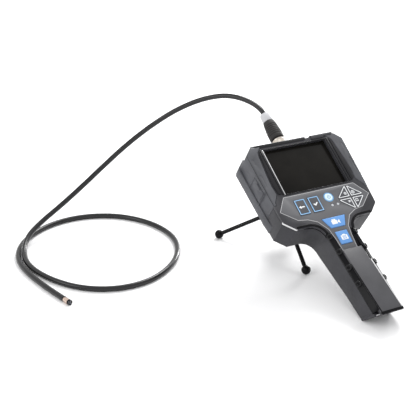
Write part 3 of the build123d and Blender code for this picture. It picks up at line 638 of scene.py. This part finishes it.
ICONS = {
    "key_esc": (PRINT_WHITE, [mark([(-29.6, -17.0), (-27.4, -15.3), (-27.4, -16.4), (-23.4, -16.4), (-23.4, -17.6),
                                    (-27.4, -17.6), (-27.4, -18.7)])]),
    "key_ok": (PRINT_WHITE, [mark([(-13.4, -16.7), (-12.4, -15.9), (-11.5, -17.0), (-8.9, -14.9), (-8.2, -15.8),
                                   (-11.4, -18.9)])]),
    "key_upper_left": (PRINT_WHITE, [ring_mark(25.3, -12.6, 1.5, 0.55),
                                     mark(circle_points(25.3, -12.6, 0.45, 10))]),
    "key_upper_right": (PRINT_WHITE, [ring_mark(34.1, -12.7, 1.9, 0.6),
                                      mark(circle_points(34.1, -12.7, 0.6, 10))]),
    "key_lower_left": (PRINT_WHITE, [mark(rectangle(25.4, -21.6, 1.4, 0.35)),
                                     mark(rectangle(25.4, -22.8, 0.9, 0.35))]),
    "key_lower_right": (PRINT_WHITE, [ring_plate("mark", rectangle(34.0, -22.3, 1.5, 1.5), 0.55, ICON_LOW,
                                                 ICON_HIGH)]),
    "key_record": (PRINT_WHITE, [mark(rectangle(-1.7, -40.6, 3.1, 2.1)),
                                 mark([(1.9, -40.1), (4.3, -38.4), (4.3, -42.8), (1.9, -41.1)]),
                                 mark(circle_points(-2.9, -37.9, 0.95, 12)),
                                 mark(circle_points(-0.7, -37.9, 0.95, 12))]),
    "key_photo": (PRINT_WHITE, [ring_mark(0.4, -58.5, 1.45, 0.6), mark(circle_points(0.4, -58.5, 0.4, 10)),
                                mark([(-3.2, -60.9), (4.0, -60.9), (4.0, -60.2), (-3.2, -60.2)]),
                                mark([(-3.2, -60.3), (-1.5, -60.3), (-1.5, -56.6), (-3.2, -56.6)]),
                                mark([(2.3, -60.3), (4.0, -60.3), (4.0, -56.6), (2.3, -56.6)]),
                                mark([(-3.2, -56.7), (4.0, -56.7), (4.0, -56.0), (2.3, -56.0), (1.7, -54.9),
                                      (-0.9, -54.9), (-1.5, -56.0), (-3.2, -56.0)])]),
    "key_power": (POWER_MARK, power_mark(6.3, -12.5)),
}
for node, (material, marks) in ICONS.items():
    settle(joined(node + "_icon", marks), material, "key_white", body=node)
power_ring = ring_plate("power_ring", circle_points(6.3, -12.4, 5.2, 40), 0.85, FILM_TOP - 0.02, FILM_TOP + 0.07)
settle(power_ring, FRAME_BLUE, "key_blue")
print("icons:", len(ICONS))

# %% [markdown]
# ## Probe connector
# The cable leaves through a turned nickel ring with a knurled grip, a moulded boot with soft ribs and a
# plain white sleeve. All three are round, so they are turned along one axis and then laid on the socket's.

# %% Probe connector
SOCKET_X, SOCKET_Z = -3.5, -16.5
SOCKET_AXIS = HANDSET @ Matrix.Translation((SOCKET_X, 0, SOCKET_Z)) @ Matrix.Rotation(-math.pi / 2, 4, "X")
boot_profile = [(74.0, 5.6), (74.0, 6.6), (74.9, 7.35), (76.5, 7.6)]
for start in (78.2, 80.6, 83.0, 85.4, 87.8, 90.2):
    crest = 7.68 - max(0.0, start - 82.0) * 0.09
    boot_profile += [(start, crest), (start + 0.35, crest - 0.42), (start + 1.0, crest - 0.46),
                     (start + 1.35, crest - 0.06)]
boot_profile += [(93.5, 6.6), (96.9, 6.0), (97.2, 5.7)]
boot = round_edges(turned("strain_relief_boot", boot_profile), 0.15)
settle(boot, RELIEF_BLACK, "relief", place=SOCKET_AXIS, degrees=50)
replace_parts(boot, "strain_relief")
sleeve = turned("cable_sleeve", [(97.2, 5.5), (97.5, 5.7), (106.2, 5.62), (106.8, 5.35), (107.0, 4.6), (107.0, 3.0)])
settle(sleeve, BAND_WHITE, "label", place=SOCKET_AXIS)
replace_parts(sleeve, "cable_label")
ring = turned("coupling_ring_turned", [(63.6, 5.2), (63.6, 6.1), (63.9, 6.38), (65.4, 6.38), (65.8, 6.0), (66.3, 6.0),
                                       (66.7, 6.38), (71.2, 6.38), (71.5, 5.9), (72.0, 5.9), (72.2, 6.38),
                                       (73.1, 6.38), (73.4, 6.1), (73.4, 4.9)], 96)
for vertex in ring.data.vertices:
    turn = round(math.atan2(vertex.co.y, vertex.co.x) / (2 * math.pi / 96))
    if 66.6 < vertex.co.z < 71.3 and turn % 2 and Vector(vertex.co[:2]).length > 6.2:
        vertex.co.x, vertex.co.y = vertex.co.x * 0.962, vertex.co.y * 0.962
settle(ring, NICKEL, "nickel", body="coupling_ring", place=SOCKET_AXIS, degrees=20)
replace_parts(ring, "coupling_ring")
print("connector turned")

# %% [markdown]
# ## Camera head
# A short bright barrel ends in a dark bezel, which shades the lens from its own lights.

# %% Camera head
tip = [Vector(v) for v in ROUTE_MM[-2:]]
tip_axis = (tip[1] - tip[0]).normalized()
TIP_PLACE = Matrix.Scale(MM, 4) @ Matrix.Translation(tip[1]) @ tip_axis.to_track_quat("Z", "Y").to_matrix().to_4x4()
barrel = turned("camera_barrel", [(-0.2, 2.3), (0.9, 2.35), (0.95, 2.6), (1.15, 2.74), (7.0, 2.74), (7.1, 2.6),
                                  (7.2, 2.5)])
settle(barrel, COPPER, "nickel", place=TIP_PLACE)
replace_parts(barrel, "camera_head")
bezel = turned("camera_bezel", [(7.1, 2.5), (7.25, 2.74), (9.3, 2.74), (9.5, 2.55), (9.5, 2.3), (8.75, 2.2)])
settle(bezel, GLOSS_BLACK, "soft_black", place=TIP_PLACE)
print("camera head done")

# %% [markdown]
# ## Side guards' ribs
# The soft guards have two slender ribs across each side, which also hide the ends of the socket door.

# %% Guard ribs
def guard_rib(y_front, y_back):
    start = Vector((54.55 - 0.036 * (y_front - 28), y_front, -0.9))
    end = Vector((54.5 - 0.036 * (y_back - 28), y_back, -24.4))
    bpy.ops.object.select_all(action="DESELECT")
    bpy.ops.mesh.primitive_cube_add(size=1, location=(start + end) / 2)
    rib = bpy.context.object
    along = (end - start).normalized()
    rib.matrix_world = (Matrix.Translation((start + end) / 2) @ along.to_track_quat("Z", "X").to_matrix().to_4x4()
                        @ Matrix.Diagonal((0.9, 0.9, (end - start).length, 1)))
    bpy.ops.object.transform_apply(location=True, rotation=True, scale=True)
    return round_edges(rib, 0.3)


RIB_ENDS = ((30.6, 31.6), (7.4, 8.0))
for index, (y_front, y_back) in enumerate(RIB_ENDS, 1):
    both_sides(lambda: guard_rib(y_front, y_back), f"guard_rib_{index}", GUARD_GREY, "guard")
print("guard ribs:", 2 * len(RIB_ENDS))

# %% [markdown]
# ## Guard cheeks and the cover's edges
# The guards swell a little towards the back of the head. The battery cover has a pale bead on its right edge as a
# painted highlight, a dark one on its left as painted shade, and a soft black bar across its end. All three slide
# with the cover.

# %% Guard cheeks and the cover's edges
cheek = [(53.0, -20.0), (53.4, -19.0), (54.6, -9.3), (57.5, 51.2), (56.4, 54.0), (48.2, 62.2), (46.2, 60.2),
         (53.6, 51.0)]
both_sides(lambda: plate("cheek", cheek, -32.4, -21.6), "guard_cheek", GUARD_GREY, "guard", 0.6)
# The right bead is a painted highlight and the left one painted shade: the same bead, pale on the lit side and dark
# on the shaded side.
for side in (1, -1):
    bead = plate("cover_edge_painted_light", rectangle(side * 11.2, -117.5, 0.5, 28.0), 0.0, 0.45)
    for vertex in bead.data.vertices:
        vertex.co.z += cover_height(vertex.co.y) - 0.15
    settle(round_edges(bead, 0.1), PAINTED_HIGHLIGHT if side > 0 else SOFT_BLACK, "shell", body=BODY_OF["battery_cover"])
end_bar = plate("cover_end_bar", rectangle(0, -146.4, 11.75, 1.35), 11.2, 13.45)
settle(round_edges(end_bar, 0.3), SOFT_BLACK, "soft_black", body=BODY_OF["battery_cover"])
print("cover edges done")

# %% [markdown]
# ## The cable joins the object
# The spline from the start gets its jacket and stands for the CAD cable.

# %% The cable joins the object
cable.data.materials.append(JACKET)
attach(cable, "handset")
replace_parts(cable, "probe_cable")
print("cable:", CABLE_LENGTH, "m long,", CABLE_DIAMETER, "m thick")

# %% [markdown]
# ## Studio
# A pale floor that runs into a pale background, one large soft light high behind the object's right, a small
# panel low on the same side for the edges, a weaker one at the left, and an even sky, as in a light tent.

# %% Studio
bpy.ops.object.select_all(action="DESELECT")
bpy.ops.mesh.primitive_plane_add(size=6, location=(0, 0, 0))
floor = bpy.context.object
floor.name = "studio_floor"
floor.data.materials.append(finish("floor_paper", (0.95, 0.95, 0.955), 0.8, drift=0.01, specular=0.1))


def soft_light(name, place, size, power, aim=(-0.05, 0.05, 0.03)):
    bpy.ops.object.light_add(type="AREA", location=place)
    light = bpy.context.object
    light.name = name
    light.data.shape, light.data.size, light.data.energy = "DISK", size, power
    light.rotation_euler = (Vector(aim) - Vector(place)).to_track_quat("-Z", "Y").to_euler()
    return light


soft_light("key", (0.75, 0.9, 1.35), 0.7, 20)
soft_light("side_panel", (1.05, 0.75, 0.22), 0.3, 9)
soft_light("left_panel", (-1.5, 0.1, 0.9), 0.9, 5)
world = bpy.data.worlds.new("studio")
bpy.context.scene.world = world
world.use_nodes = True
world.node_tree.nodes["Background"].inputs["Color"].default_value = (1, 1, 1, 1)
world.node_tree.nodes["Background"].inputs["Strength"].default_value = 1.02
bpy.context.scene.view_settings.view_transform = "Standard"
print("studio lights:", len(bpy.data.lights))
